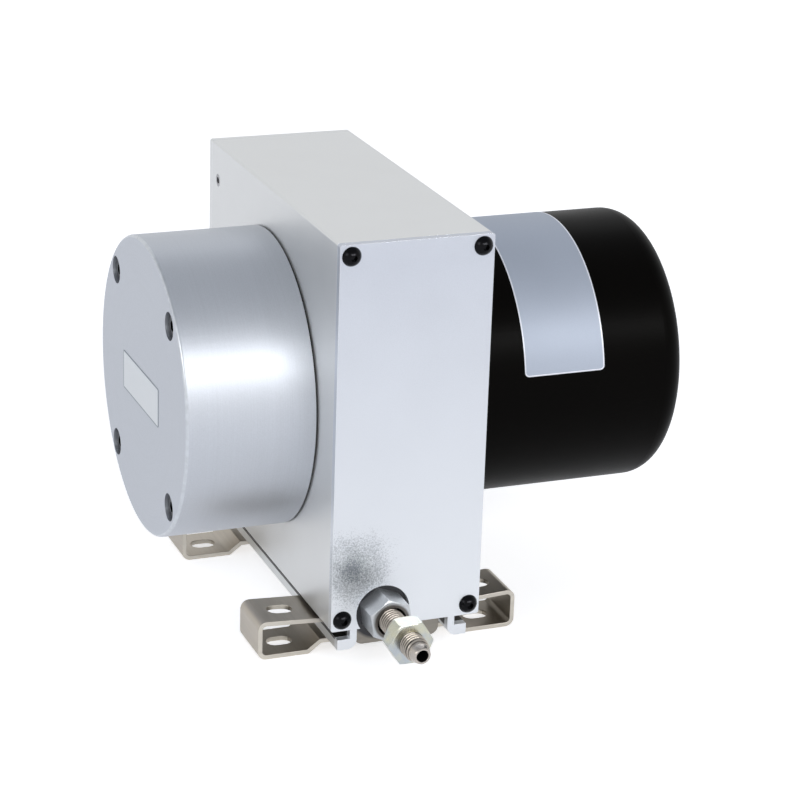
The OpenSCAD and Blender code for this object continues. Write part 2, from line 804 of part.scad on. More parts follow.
module spring_housing() {
    cup_l = spring_l - gasket_t;
    outer_r = spring_d / 2;
    color([0.72, 0.74, 0.76])
    on_axis(spring_end_x)
        difference() {
            union() {
                // Turned outer form with a rounded outer edge
                translate([0, 0, spring_edge_r]) cylinder(r = outer_r, h = cup_l - spring_edge_r);
                cylinder(r = outer_r - spring_edge_r, h = spring_edge_r + eps);
                rotate_extrude() translate([outer_r - spring_edge_r, spring_edge_r])
                    circle(r = spring_edge_r, $fn = 32);
            }
            difference() {
                translate([0, 0, spring_end_t]) cylinder(r = outer_r - spring_wall, h = cup_l);
                // Chamber wall round the mainspring
                translate([0, 0, spring_end_t - eps])
                    tube(chamber_r + chamber_wall, chamber_r, cover_x - chamber_x);
                // Screw bosses beside the chamber wall
                translate([0, 0, spring_end_t - eps]) intersection() {
                    around(4, tie_r, 45) cylinder(r = boss_r, h = cup_l - spring_end_t + eps);
                    tube(outer_r, chamber_r, cup_l);
                }
            }
            around(4, tie_r, 45) {
                translate([0, 0, -1]) cylinder(d = tie_bore_d, h = tie_bore_h + 1);
                cylinder(d = m4_cap[0] + 0.4, h = spring_l + 1);
            }
            // Threads for the chamber cover's screws, and the anchor pin's seat
            translate([0, 0, cover_x - spring_end_x - 5]) around(4, chamber_r + chamber_wall / 2)
                cylinder(d = m2_cap[0] + 2 * seat_fit, h = 6);
            rotate([0, 0, 90]) translate([anchor_r, 0, spring_end_t - 2])
                cylinder(d = anchor_d + 2 * seat_fit, h = 3);
        }
}

module spring_housing_screws() {
    color([0.16, 0.16, 0.17])
        on_axis_back(spring_end_x + tie_bore_h) around(4, tie_r, 45)
            cap_screw(m4_cap, spring_l - tie_bore_h + tie_tail);
}

// Points of the spiral at a radial offset from its middle line
function spiral(offset) = [
    for (i = [0 : 24 * strip_turns + 6])
        let (a = i * 15, r = arbor_r + 0.6 + strip_pitch * i / 24 + offset) [r * cos(a), r * sin(a)]
];
function reversed(list) = [for (i = [len(list) - 1 : -1 : 0]) list[i]];

// Flat spiral strip, hooked into the arbor at its inner end and on a pin at its outer end
module mainspring() {
    end_r = arbor_r + 0.6 + strip_pitch * (strip_turns + 0.25);
    color([0.35, 0.37, 0.42])
    on_axis(strip_x)
        linear_extrude(strip_w)
            difference() {
                union() {
                    polygon(concat(spiral(-strip_t / 2), reversed(spiral(strip_t / 2))));
                    translate([arbor_r - 1.4, -strip_t / 2])
                        square([2 + strip_t / 2, strip_t]);
                    translate([-strip_t / 2, end_r - strip_t / 2])
                        square([strip_t, anchor_r - end_r]);
                    translate([0, anchor_r]) circle(d = anchor_d + 2 * strip_t + 0.2, $fn = 32);
                }
                translate([0, anchor_r]) circle(d = anchor_d + 0.2, $fn = 32);
            }
}

module spring_anchor_pin() {
    color([0.55, 0.55, 0.56])
        on_axis(chamber_x - 2) rotate([0, 0, 90]) translate([anchor_r, 0, 0])
            cylinder(d = anchor_d, h = cover_x - chamber_x + 2 - 0.1);
}

// Hole across the arbor and the shaft, along Y
module arbor_pin_hole() {
    translate([strip_x + strip_w / 2, arbor_r + 1, axis_z]) rotate([90, 0, 0])
        cylinder(d = 2.5 + 2 * seat_fit, h = 2 * arbor_r + 2);
}

module spring_arbor() {
    color([0.50, 0.51, 0.53])
    difference() {
        on_axis(strip_x - 0.5)
            difference() {
                tube(arbor_r, shaft_end_d / 2 + seat_fit, strip_w + 1);
                // Slot for the spring's hooked end
                translate([arbor_r - 2, -strip_t, -1]) cube([3, 2 * strip_t, strip_w + 3]);
            }
        arbor_pin_hole();
    }
}

module arbor_pin() {
    color([0.30, 0.30, 0.31])
        translate([strip_x + strip_w / 2, arbor_r - 0.3, axis_z]) rotate([90, 0, 0])
            cylinder(d = 2.5, h = 2 * arbor_r - 0.6);
}

module spring_cover() {
    color([0.62, 0.63, 0.65])
    on_axis(cover_x)
        difference() {
            cylinder(r = chamber_r + chamber_wall, h = cover_t);
            translate([0, 0, -1]) cylinder(d = shaft_end_d + 4, h = cover_t + 2);
            translate([0, 0, -1]) around(4, chamber_r + chamber_wall / 2)
                cylinder(d = m2_cap[0] + 0.3, h = cover_t + 2);
            // Clear of the screw bosses
            translate([0, 0, -1]) around(4, tie_r, 45) cylinder(r = boss_r + 0.3, h = cover_t + 2);
        }
}

module spring_cover_screws() {
    color([0.30, 0.30, 0.31])
        on_axis(cover_x + cover_t) around(4, chamber_r + chamber_wall / 2)
            cap_screw(m2_cap, cover_t + 4);
}

// ---- Sensor side ----

module sensor_adapter_ring() {
    color([0.60, 0.61, 0.63])
    union() {
        on_axis(adapter_x)
            difference() {
                tube(adapter_out_r, carrier_d / 2 + 1, adapter_t);
                translate([0, 0, -1]) around(4, pillar_r, 45)
                    cylinder(d = m4_cap[0] + 0.4, h = adapter_t + 2);
                translate([0, 0, adapter_t - 4.5]) around(4, pillar_r, 45)
                    cylinder(d = m4_cap[1] + 0.6, h = 6);
                translate([0, 0, adapter_t - 5]) around(4, pillar_r)
                    cylinder(d = 3 + 2 * seat_fit, h = 6);
                translate([0, 0, side_screw_x - gasket_t]) around(3, 0) rotate([0, 90, 0])
                    cylinder(d = m3_pan[0] + 2 * seat_fit, h = sensor_d);
            }
        // Gasket lip against the body's side
        on_axis(body_w / 2) tube(adapter_out_r - 1.5, adapter_out_r - 5, gasket_t + eps);
    }
}

module adapter_screws() {
    color([0.30, 0.30, 0.31])
        on_axis(adapter_x + adapter_t - 4.5) around(4, pillar_r, 45)
            cap_screw(m4_cap, adapter_t - 4.5 + gasket_t + side_wall);
}

module sensor_housing() {
    outer_r = sensor_d / 2;
    inner_edge_r = sensor_edge_r - sensor_wall;
    color([0.06, 0.06, 0.06])
    difference() {
        on_axis(body_w / 2)
            difference() {
                union() {
                    cylinder(r = outer_r, h = sensor_l - sensor_edge_r);
                    cylinder(r = outer_r - sensor_edge_r, h = sensor_l);
                    translate([0, 0, sensor_l - sensor_edge_r]) rotate_extrude()
                        translate([outer_r - sensor_edge_r, 0]) circle(r = sensor_edge_r, $fn = 64);
                }
                translate([0, 0, -1]) cylinder(
                    r = outer_r - sensor_wall, h = sensor_l - sensor_edge_r + 1);
                translate([0, 0, -1]) cylinder(
                    r = outer_r - sensor_edge_r, h = sensor_l - sensor_wall + 1);
                translate([0, 0, sensor_l - sensor_edge_r]) rotate_extrude()
                    translate([outer_r - sensor_edge_r, 0]) circle(r = inner_edge_r, $fn = 64);
                translate([0, 0, side_screw_x]) around(3, 0) rotate([0, 90, 0])
                    cylinder(d = m3_pan[0] + 0.4, h = sensor_d);
            }
        // Hole and flat seat for the cable gland
        translate([gland_x, gland_seat_y + 5, axis_z]) rotate([90, 0, 0]) {
            cylinder(r = gland_af / sqrt(3) + 0.4, h = 5);
            cylinder(d = gland_thread_d + 0.2, h = sensor_wall + 8);
        }
    }
}

module sensor_housing_screws() {
    color([0.12, 0.12, 0.13])
        on_axis(body_w / 2 + side_screw_x) around(3, 0) rotate([0, 90, 0])
            translate([0, 0, sensor_d / 2 + 0.1]) pan_screw([3, 5.4, 1.8], side_screw_l);
}

module sensor_pillars() {
    color([0.76, 0.70, 0.48])
        on_axis(adapter_x + adapter_t) around(4, pillar_r)
            difference() {
                union() {
                    hexagon(pillar_d, pillar_l);
                    translate([0, 0, -4.5]) cylinder(d = 3, h = 4.5 + eps);
                }
                translate([0, 0, pillar_l - 6]) cylinder(d = m3_cap[0] + 2 * seat_fit, h = 7);
            }
}

module sensor_plate() {
    color([0.66, 0.67, 0.69])
    on_axis(sensor_plate_x)
        difference() {
            cylinder(r = pillar_r + 5, h = sensor_plate_t);
            translate([0, 0, -1]) around(4, pillar_r) cylinder(d = m3_cap[0] + 0.4, h = sensor_plate_t + 2);
            translate([0, 0, -1]) around(4, pillar_r, 45)
                cylinder(d = 3 + 2 * seat_fit, h = sensor_plate_t + 2);
            translate([0, 0, -1]) cylinder(d = 9.4, h = sensor_plate_t + 2);
        }
}

module sensor_plate_screws() {
    color([0.30, 0.30, 0.31])
        on_axis(sensor_plate_x + sensor_plate_t) around(4, pillar_r)
            cap_screw(m3_cap, sensor_plate_t + 5);
}

// Multi-turn sensor: can, threaded bush and its nut, with connection lugs at the back
module rotary_sensor() {
    bush_l = sensor_plate_t + 3;
    color([0.12, 0.22, 0.42])
    on_axis(sensor_plate_x + sensor_plate_t)
        difference() {
            union() {
                cylinder(d = pot_d, h = pot_l);
                translate([0, 0, -bush_l]) cylinder(d = 9.2, h = bush_l + eps);
                translate([0, 0, -sensor_plate_t - 2.2]) hexagon(12, 2.2 - seat_fit);
                for (y = [-5, 0, 5]) translate([-pot_d / 2 - 2.4, y - 1, pot_l - 4])
                    cube([4, 2, 0.6]);
            }
            translate([0, 0, -bush_l - 1]) cylinder(d = sensor_shaft_d + 2 * run_fit, h = bush_l + 9);
        }
}

module sensor_shaft() {
    shaft_l = sensor_plate_x + sensor_plate_t + 7 - sensor_shaft_x;
    color([0.82, 0.82, 0.83]) on_axis(sensor_shaft_x) cylinder(d = sensor_shaft_d, h = shaft_l);
}

// One half of the jaw coupling, with its jaws towards +Z
module coupling_half(bore_d) {
    clamp_z = coupling_hub_l / 2;
    difference() {
        union() {
            tube(coupling_d / 2, bore_d / 2 + seat_fit, coupling_hub_l);
            translate([0, 0, coupling_hub_l - eps]) intersection() {
                tube(coupling_d / 2, coupling_d / 4 - 0.5, coupling_gap - 0.4 + eps);
                for (turn = [0, 180]) rotate([0, 0, turn - jaw_angle / 2])
                    wedge(coupling_d, jaw_angle, coupling_gap);
            }
        }
        translate([0, 0, clamp_z]) rotate([0, 90, 0]) cylinder(d = 3 + 2 * seat_fit, h = coupling_d);
    }
    translate([0, 0, clamp_z]) rotate([0, 90, 0]) translate([0, 0, coupling_d / 2 - 0.3])
        grub_screw(3, coupling_d / 2 - bore_d / 2 - 0.5);
}

// Sector from angle 0 to the given angle, under 180 degrees
module wedge(r, angle, h) {
    linear_extrude(h) polygon([[0, 0], [r, 0], [r, r * tan(angle / 2)], [r * cos(angle), r * sin(angle)]]);
}

module coupling_hubs() {
    color([0.74, 0.75, 0.77]) {
        on_axis(coupling_x) coupling_half(shaft_end_d);
        on_axis_back(sensor_shaft_x + coupling_hub_l) rotate([0, 0, 90]) coupling_half(sensor_shaft_d);
    }
}

// Elastic cross between the coupling's jaws
module coupling_spider() {
    color([0.80, 0.25, 0.10])
    on_axis(coupling_x + coupling_hub_l + 0.1)
        difference() {
            union() {
                cylinder(r = coupling_d / 4 - 0.7, h = coupling_gap - 0.2);
                intersection() {
                    cylinder(r = coupling_d / 2 - 0.4, h = coupling_gap - 0.2);
                    for (turn = [45, 135]) rotate([0, 0, turn])
                        translate([-coupling_d / 2, -1.6, 0]) cube([coupling_d, 3.2, coupling_gap - 0.2]);
                }
            }
            translate([0, 0, -1]) cylinder(r = 2, h = coupling_gap + 2);
        }
}

module board_pillars() {
    color([0.76, 0.70, 0.48])
        on_axis(sensor_plate_x + sensor_plate_t) around(4, pillar_r, 45) {
            hexagon(5.5, board_pillar_l);
            translate([0, 0, -sensor_plate_t]) cylinder(d = 3, h = sensor_plate_t + eps);
            translate([0, 0, board_pillar_l - eps]) cylinder(d = 3, h = board_t + 1);
        }
}

module circuit_board() {
    color([0.05, 0.35, 0.18])
    on_axis(board_x)
        difference() {
            cylinder(r = board_r, h = board_t);
            translate([0, 0, -1]) around(4, pillar_r, 45) cylinder(d = 3 + 2 * seat_fit, h = board_t + 2);
        }
}

// Terminal block, chips and capacitors on the board's outer face
module board_parts() {
    color([0.10, 0.30, 0.16])
    on_axis(board_x + board_t) {
        translate([-6, 15, 0]) difference() {
            cube([12, 8, 8]);
            for (x = [3, 9]) translate([x, -1, 4]) rotate([-90, 0, 0]) cylinder(d = 3, h = 5);
            for (x = [3, 9]) translate([x, 5, 5]) cylinder(d = 3, h = 4);
        }
        translate([-8, -4, 0]) cube([8, 6, 1.5]);
        translate([6, -14, 0]) cube([5, 4, 1.5]);
        for (p = [[9, 2], [-14, -10]]) translate([p[0], p[1], 0]) cylinder(d = 6, h = 6);
    }
}

// Gland body: hexagon on the housing, thread through its wall and a locknut inside
module cable_gland() {
    seat_to_nut = gland_seat_y - sqrt(pow(sensor_d / 2 - sensor_wall, 2) - pow(gland_af / 2, 2));
    color([0.10, 0.10, 0.10])
    translate([gland_x, gland_seat_y, axis_z]) rotate([-90, 0, 0])
        difference() {
            union() {
                chamfered_hex(gland_af, 5, low = false);
                translate([0, 0, 5 - eps]) cylinder(d = gland_thread_d, h = 6);
                translate([0, 0, -seat_to_nut - 5]) cylinder(d = gland_thread_d, h = seat_to_nut + 5 + eps);
                translate([0, 0, -seat_to_nut - 3.5]) hexagon(gland_af, 3.3);
            }
            translate([0, 0, -seat_to_nut - 6]) cylinder(d = gland_bore_d + 0.6, h = seat_to_nut + 20);
        }
}

module gland_cap_nut() {
    color([0.10, 0.10, 0.10])
    translate([gland_x, gland_seat_y + 5.2, axis_z]) rotate([-90, 0, 0])
        difference() {
            union() {
                chamfered_hex(gland_af, 7, low = false);
                translate([0, 0, 7 - eps]) cylinder(d1 = gland_af * 0.94, d2 = gland_bore_d + 4, h = 4);
            }
            translate([0, 0, -1]) cylinder(d = gland_thread_d + 2 * seat_fit, h = 8);
            cylinder(d = gland_bore_d, h = 12);
        }
}

housing_frame();
front_plate();
rear_plate();
front_plate_screws();
rear_plate_screws();
side_plug_screw();
front_left_foot();
front_right_foot();
rear_left_foot();
rear_right_foot();
outlet_block();
outlet_block_screws();
outlet_nozzle();
wire_guide_bush();
rubber_stop();
wire_stud();
stud_nut();
wire_ferrule();
wire_lead();
drum();
drum_set_screws();
wire_turns_on_drum();
drum_shaft();
shaft_rings();
left_bearing_carrier();
left_carrier_screws();
left_bearing_outer();
left_bearing_balls();
left_bearing_inner();
right_bearing_carrier();
right_carrier_screws();
right_bearing_outer();
right_bearing_balls();
right_bearing_inner();
spring_housing_gasket();
spring_housing();
spring_housing_screws();
mainspring();
spring_anchor_pin();
spring_arbor();
arbor_pin();
spring_cover();
spring_cover_screws();
sensor_adapter_ring();
adapter_screws();
sensor_housing();
sensor_housing_screws();
sensor_pillars();
sensor_plate();
sensor_plate_screws();
rotary_sensor();
sensor_shaft();
coupling_hubs();
coupling_spider();
board_pillars();
circuit_board();
board_parts();
cable_gland();
gland_cap_nut();
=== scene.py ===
"""Looks of a draw wire encoder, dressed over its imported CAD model.

The drum's axis lies along X, from the spring side to the sensor side. The wire leaves towards -Y,
and the clamp feet stand on z = 0. Lengths are in metres.
"""

import json
import math

import bmesh
import bpy
from mathutils import Matrix, Vector


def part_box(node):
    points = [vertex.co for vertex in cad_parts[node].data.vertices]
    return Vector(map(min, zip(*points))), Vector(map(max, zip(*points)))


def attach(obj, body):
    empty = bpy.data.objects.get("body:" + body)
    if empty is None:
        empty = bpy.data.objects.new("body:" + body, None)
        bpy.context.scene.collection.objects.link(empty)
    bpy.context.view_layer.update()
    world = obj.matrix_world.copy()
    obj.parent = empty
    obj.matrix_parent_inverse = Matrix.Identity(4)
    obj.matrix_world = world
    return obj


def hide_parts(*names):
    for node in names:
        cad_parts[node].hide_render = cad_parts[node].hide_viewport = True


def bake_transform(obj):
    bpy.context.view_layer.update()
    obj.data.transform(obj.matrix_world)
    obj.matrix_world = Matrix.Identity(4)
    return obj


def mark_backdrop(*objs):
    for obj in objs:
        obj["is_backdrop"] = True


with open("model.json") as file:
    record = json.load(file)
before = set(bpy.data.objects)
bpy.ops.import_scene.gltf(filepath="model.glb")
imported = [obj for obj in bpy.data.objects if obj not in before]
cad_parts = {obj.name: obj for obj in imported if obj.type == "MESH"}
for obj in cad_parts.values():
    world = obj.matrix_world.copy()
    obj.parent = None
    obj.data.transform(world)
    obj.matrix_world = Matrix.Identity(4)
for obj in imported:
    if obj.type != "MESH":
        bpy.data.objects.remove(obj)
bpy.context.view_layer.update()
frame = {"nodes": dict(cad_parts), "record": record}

MM = 0.001


# ---- Measures read from the CAD model ----


def middle(node):
    """The centre of a CAD node's box."""
    low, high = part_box(node)
    return (low + high) / 2


body_low, body_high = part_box("housing_frame")
spring_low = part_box("spring_housing")[0]
sensor_low, sensor_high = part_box("sensor_housing")
stud_low, stud_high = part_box("wire_stud")
drum_axis = middle("spring_housing")
sensor_radius = (sensor_high.y - sensor_low.y) / 2
outlet_axis = middle("wire_stud")

# The stud's thread, and the cone that its tip is turned down to
STUD_CREST_R = (stud_high.z - stud_low.z) / 2
STUD_ROOT_R = STUD_CREST_R - 0.76 * MM
STUD_TIP_R = 2.75 * MM
STUD_TAPER_L = 5.0 * MM
STUD_TAPER_Y = stud_low.y + STUD_TAPER_L
STUD_TAPER_SLOPE = (STUD_CREST_R - STUD_TIP_R) / STUD_TAPER_L

# The rail's groove, from its floor up
GROOVE_Z = body_low.z + 2.8 * MM
GROOVE_H = 4.0 * MM

# Painted shade about the outlet: how far from its axis it reaches, and where the plate's painted dark
# reflection lies
BLOCK_SHADE_R = 10.6 * MM
HEXAGON_SHADE_R = 6.1 * MM
PAINTED_REFLECTION_PLACE = outlet_axis + Vector((-10.0 * MM, 0, 15.8 * MM))
PAINTED_REFLECTION_REACH = 13.2 * MM

# Bare labels
LABEL_T = 0.12 * MM
LABEL_RIM_W = 0.45 * MM
LABEL_RIM_H = 0.03 * MM
SPRING_LABEL_W = 40 * MM
SPRING_LABEL_H = 13 * MM
SPRING_LABEL_CORNER = 0.8 * MM
SPRING_LABEL_MIDDLE = Vector((spring_low.x, 1.45 * MM, drum_axis.z - 1.05 * MM))
SENSOR_LABEL_W = 28.0 * MM
SENSOR_LABEL_CORNER = 1.5 * MM
SENSOR_LABEL_X = body_high.x + 35.25 * MM
SENSOR_LABEL_ARC = math.radians(103)
SENSOR_LABEL_MIDDLE = math.radians(-29.5)

# Widths of the broken edges
FRAME_EDGE = 0.25 * MM
PLATE_EDGE = 0.35 * MM
BLOCK_EDGE = 0.3 * MM
SHEET_EDGE = 0.2 * MM
FINE_EDGE = 0.15 * MM


# ---- Surface finishes ----


def tone(red, green, blue):
    """A display colour, 0 to 255, as the linear colour that the shaders take."""

    def linear(value):
        value /= 255
        return value / 12.92 if value <= 0.04045 else ((value + 0.055) / 1.055) ** 2.4

    return (linear(red), linear(green), linear(blue), 1.0)


def shade(colour, factor):
    """A colour made darker or paler by a factor."""
    return tuple(min(1.0, part * factor) for part in colour[:3]) + (1.0,)


class Value:
    """A number that varies over a surface. Sums and products of it add Math nodes."""

    def __init__(self, nodes, socket):
        self.nodes = nodes
        self.socket = socket

    def __add__(self, other):
        return self.nodes.math("ADD", self, other)

    __radd__ = __add__

    def __sub__(self, other):
        return self.nodes.math("SUBTRACT", self, other)

    def __rsub__(self, other):
        return self.nodes.math("SUBTRACT", other, self)

    def __mul__(self, other):
        return self.nodes.math("MULTIPLY", self, other)

    __rmul__ = __mul__

    def __truediv__(self, other):
        return self.nodes.math("DIVIDE", self, other)

    def __pow__(self, other):
        return self.nodes.math("POWER", self, other)


class Nodes:
    """A node tree, and the one way in which its nodes are made and linked."""

    def __init__(self, tree):
        self.tree = tree

    def feed(self, socket, value):
        """Links a socket's output to an input, or sets the input to a plain value."""
        if isinstance(value, Value):
            value = value.socket
        if isinstance(value, bpy.types.NodeSocket):
            self.tree.links.new(value, socket)
        else:
            socket.default_value = value

    def node(self, kind, settings=(), inputs=()):
        """Adds a node: its settings first, then the values or links of its sockets."""
        made = self.tree.nodes.new(kind)
        for name, value in dict(settings).items():
            if name == "stops":
                for place, _ in value[2:]:
                    made.color_ramp.elements.new(place)
                for element, (place, colour) in zip(made.color_ramp.elements, value):
                    element.position = place
                    element.color = colour
            else:
                setattr(made, name, value)
        for name, value in dict(inputs).items():
            self.feed(made.inputs[name], value)
        return made

    def math(self, operation, *values):
        made = self.node("ShaderNodeMath", {"operation": operation}, enumerate(values))
        return Value(self, made.outputs[0])

    def seen(self, reflected):
        """1 for what the camera sees, also through glass, and a share of 1 for what metal shows."""
        path = self.node("ShaderNodeLightPath").outputs
        direct = Value(self, path["Is Camera Ray"]) + Value(self, path["Is Transmission Ray"])
        return direct + reflected * Value(self, path["Is Glossy Ray"])

    def shaders(self, factor, first, second):
        """The output of a shader between two others."""
        return self.node("ShaderNodeMixShader", (), {0: factor, 1: first, 2: second}).outputs[0]


class Finish(Nodes):
    """A material with one surface shader, and the nodes that vary it."""

    def __init__(self, name, colour, roughness, metallic=0.0, coat=0.0):
        self.material = bpy.data.materials.new(name)
        self.material.use_nodes = True
        super().__init__(self.material.node_tree)
        self.shader = self.tree.nodes["Principled BSDF"]
        self.colour = colour
        self.roughness = roughness
        self.set("Base Color", colour)
        self.set("Roughness", roughness)
        self.set("Metallic", metallic)
        self.set("Coat Weight", coat)
        self.place = self.node("ShaderNodeTexCoord").outputs["Object"]

    def set(self, name, value):
        self.feed(self.shader.inputs[name], value)

    def stretched(self, scale):
        """Object coordinates scaled by a different factor along each axis."""
        made = self.node("ShaderNodeMapping", (), {"Vector": self.place, "Scale": scale})
        return made.outputs[0]

    def noise(self, scale, detail=2.0, stretch=None):
        """Noise from 0 to 1; scale is in cells per metre."""
        place = self.stretched(stretch) if stretch else self.place
        inputs = {"Vector": place, "Scale": scale, "Detail": detail}
        made = self.node("ShaderNodeTexNoise", (), inputs)
        return Value(self, made.outputs[0])

    def ramp(self, value, *stops):
        """Spreads a value over grey levels: each stop is a place and a level."""
        stops = [(place, (level, level, level, 1.0)) for place, level in stops]
        made = self.node("ShaderNodeValToRGB", {"stops": stops}, {"Fac": value})
        return Value(self, made.outputs["Color"])

    def blend(self, factor, first, second):
        """A colour between two others."""
        made = self.node("ShaderNodeMix", {"data_type": "RGBA"}, {0: factor, 6: first, 7: second})
        return made.outputs[2]

    def mottled(self, mix, contrast):
        """Lets the finish's own colour run from darker to paler as mix goes from 0 to 1."""
        dark, pale = shade(self.colour, 1 - contrast), shade(self.colour, 1 + contrast)
        self.set("Base Color", self.blend(mix, dark, pale))

    def bump(self, height, distance):
        inputs = {"Height": height, "Distance": distance, "Strength": 1.0}
        self.set("Normal", self.node("ShaderNodeBump", (), inputs).outputs[0])

    def parts(self, place=None):
        """X, Y and Z of a place, or of the surface's own."""
        outputs = self.node("ShaderNodeSeparateXYZ", (), {0: place or self.place}).outputs
        return [Value(self, output) for output in outputs]

    def distance(self, centre):
        """The distance from a line along Y through a point."""
        x, _, z = self.parts()
        x, z = x - centre.x, z - centre.z
        return (x * x + z * z) ** 0.5

    def grainy_fade(self, centre, reach):
        """1 about a line along Y, fading to 0 in a grainy way over a distance."""
        far = self.distance(centre) / reach
        uneven = 0.5 * (self.noise(160.0, 2.0) - 0.5) + 1.7 * (self.noise(2600.0, 3.0) - 0.5)
        return self.ramp(far + uneven, (0.0, 0.9), (0.95, 0.0))

    def overlay(self, mask, colour):
        """Lays another colour over the finish where the mask is high."""
        under = self.shader.inputs["Base Color"].links[0].from_socket
        self.set("Base Color", self.blend(mask, under, colour))

    def speckle(self, grains, contrast, depth, patches=45.0):
        """Fine grain in colour, gloss and relief, with faint larger patches."""
        fine = self.noise(grains, 3.0)
        broad = self.noise(patches, 2.0)
        mix = self.ramp(0.75 * fine + 0.25 * broad, (0.3, 0.0), (0.7, 1.0))
        self.mottled(mix, contrast)
        self.set("Roughness", self.roughness + 0.12 * (broad - 0.5) + 0.08 * (fine - 0.5))
        self.bump(fine, depth)
        return self


# How far noise shrinks along a brushed metal's strokes, and how deep a polished metal's relief is
STROKE_STRETCH = 0.03
POLISH_RELIEF = 0.01 * MM


def brushed(name, colour, roughness, along, lines=900.0, contrast=0.10, depth=0.015 * MM):
    """Metal with fine drawn lines along one axis."""
    finish = Finish(name, colour, roughness, metallic=1.0)
    stretch = [1.0, 1.0, 1.0]
    stretch["XYZ".index(along)] = STROKE_STRETCH
    strokes = finish.noise(lines, 3.0, stretch)
    stains = finish.noise(90.0, 3.0)
    mix = finish.ramp(0.6 * strokes + 0.4 * stains, (0.3, 0.0), (0.7, 1.0))
    finish.mottled(mix, contrast)
    finish.set("Roughness", roughness + 0.16 * (strokes - 0.5) + 0.14 * (stains - 0.5))
    finish.bump(strokes, depth)
    return finish


def turned(name, colour, roughness, metallic=0.9, rings=2600.0, contrast=0.05):
    """Metal turned on a lathe about the drum's axis: faint rings under a fine grain."""
    finish = Finish(name, colour, roughness, metallic)
    centred = finish.node(
        "ShaderNodeMapping",
        (),
        {"Vector": finish.place, "Location": (0, -drum_axis.y, -drum_axis.z)},
    ).outputs[0]
    x, y, z = finish.parts(centred)
    radius = (y * y + z * z) ** 0.5
    ring_place = finish.node("ShaderNodeCombineXYZ", (), {0: radius, 1: x}).outputs[0]
    ring = finish.node("ShaderNodeTexNoise", (), {"Vector": ring_place, "Scale": rings, "Detail": 2.0})
    lathe = Value(finish, ring.outputs[0])
    grain = finish.noise(2300.0, 3.0)
    relief = 0.4 * lathe + 0.6 * grain
    mix = finish.ramp(relief, (0.3, 0.0), (0.7, 1.0))
    finish.mottled(mix, contrast)
    finish.set("Roughness", roughness + 0.10 * (lathe - 0.5) + 0.08 * (grain - 0.5))
    finish.bump(relief, 0.03 * MM)
    return finish


def moulded(name, colour, roughness, grains=1400.0, contrast=0.12, depth=0.03 * MM, coat=0.0):
    """Moulded plastic or rubber with a fine skin texture."""
    return Finish(name, colour, roughness, coat=coat).speckle(grains, contrast, depth)


def blasted(name, colour, roughness, metallic=0.85, contrast=0.07):
    """Bead-blasted and anodised aluminium."""
    return Finish(name, colour, roughness, metallic).speckle(4200.0, contrast, 0.012 * MM)


def plated(name, colour, second, roughness):
    """Passivated plating, whose hue drifts between two colours."""
    finish = Finish(name, colour, roughness, metallic=1.0)
    drift = finish.noise(160.0, 3.0)
    finish.set("Base Color", finish.blend(finish.ramp(drift, (0.38, 0.0), (0.62, 1.0)), colour, second))
    smears = finish.noise(700.0, 4.0)
    finish.set("Roughness", roughness + 0.14 * (smears - 0.5))
    finish.bump(smears, POLISH_RELIEF)
    return finish


def threaded(name, colour, roughness):
    """Steel thread about the outlet's axis, with painted shade darkening its root, which is also
    rougher.
    """
    finish = Finish(name, colour, roughness, metallic=1.0)
    _, y, _ = finish.parts()
    turned_down = finish.math("MAXIMUM", STUD_TAPER_Y - y, 0.0)
    depth = STUD_CREST_R - STUD_TAPER_SLOPE * turned_down - finish.distance(outlet_axis)
    share = depth / (STUD_CREST_R - STUD_ROOT_R) + 0.3 * (finish.noise(900.0, 3.0) - 0.5)
    # Painted shade in the thread's root
    root_shade_mask = finish.ramp(share, (0.05, 0.0), (0.6, 1.0))
    finish.set("Base Color", finish.blend(root_shade_mask, colour, shade(colour, 0.07)))
    finish.set("Roughness", roughness + 0.3 * root_shade_mask)
    return finish


def polished(name, colour, roughness, contrast=0.06):
    """Plated or ground metal with faint smears."""
    finish = Finish(name, colour, roughness, metallic=1.0)
    smears = finish.noise(420.0, 4.0)
    mix = finish.ramp(smears, (0.35, 0.0), (0.65, 1.0))
    finish.mottled(mix, contrast)
    finish.set("Roughness", roughness + 0.12 * (smears - 0.5))
    finish.bump(smears, POLISH_RELIEF)
    return finish


FINISHES = {
    "anodised_aluminium": blasted("anodised aluminium", tone(229, 230, 230), 0.38),
    "turned_aluminium": turned("turned aluminium", tone(200, 204, 211), 0.44),
    "bare_aluminium": turned("machined aluminium", tone(198, 200, 204), 0.38),
    "black_screw": polished("blackened screw", tone(30, 30, 32), 0.18),
    "steel": polished("plain steel", tone(170, 170, 172), 0.32),
    "bearing_steel": polished("ground steel", tone(200, 202, 205), 0.18),
    "spring_steel": brushed("spring steel", tone(110, 116, 128), 0.30, "Y"),
    "stainless_sheet": brushed("stainless sheet", tone(190, 182, 170), 0.34, "Y"),
    "stainless_block": brushed("milled stainless", tone(146, 141, 133), 0.44, "X"),
    "bright_steel": blasted("satin nickel", tone(206, 209, 212), 0.34, metallic=0.75, contrast=0.22),
    "stainless_stud": polished("stainless thread", tone(194, 187, 179), 0.26),
    "zinc_plated": plated("zinc plating", tone(216, 214, 192), tone(192, 198, 202), 0.24),
    "wire_rope": polished("stranded wire", tone(180, 180, 182), 0.30),
    "brass": polished("brass", tone(206, 172, 104), 0.30),
    "white_plastic": moulded("natural plastic", tone(226, 224, 216), 0.45),
    "black_rubber": moulded("black rubber", tone(30, 30, 30), 0.75),
    "red_rubber": moulded("red rubber", tone(170, 50, 30), 0.60),
    "matte_black": moulded("matte black", tone(4, 3, 2), 0.34, contrast=0.2, depth=0.01 * MM),
    "black_plastic": moulded("black plastic", tone(34, 34, 35), 0.45),
    "blue_plastic": moulded("blue plastic", tone(36, 72, 140), 0.35),
    "green_board": moulded("circuit board", tone(20, 96, 52), 0.30, coat=0.4),
    "board_plastic": moulded("board parts", tone(36, 92, 58), 0.45),
}
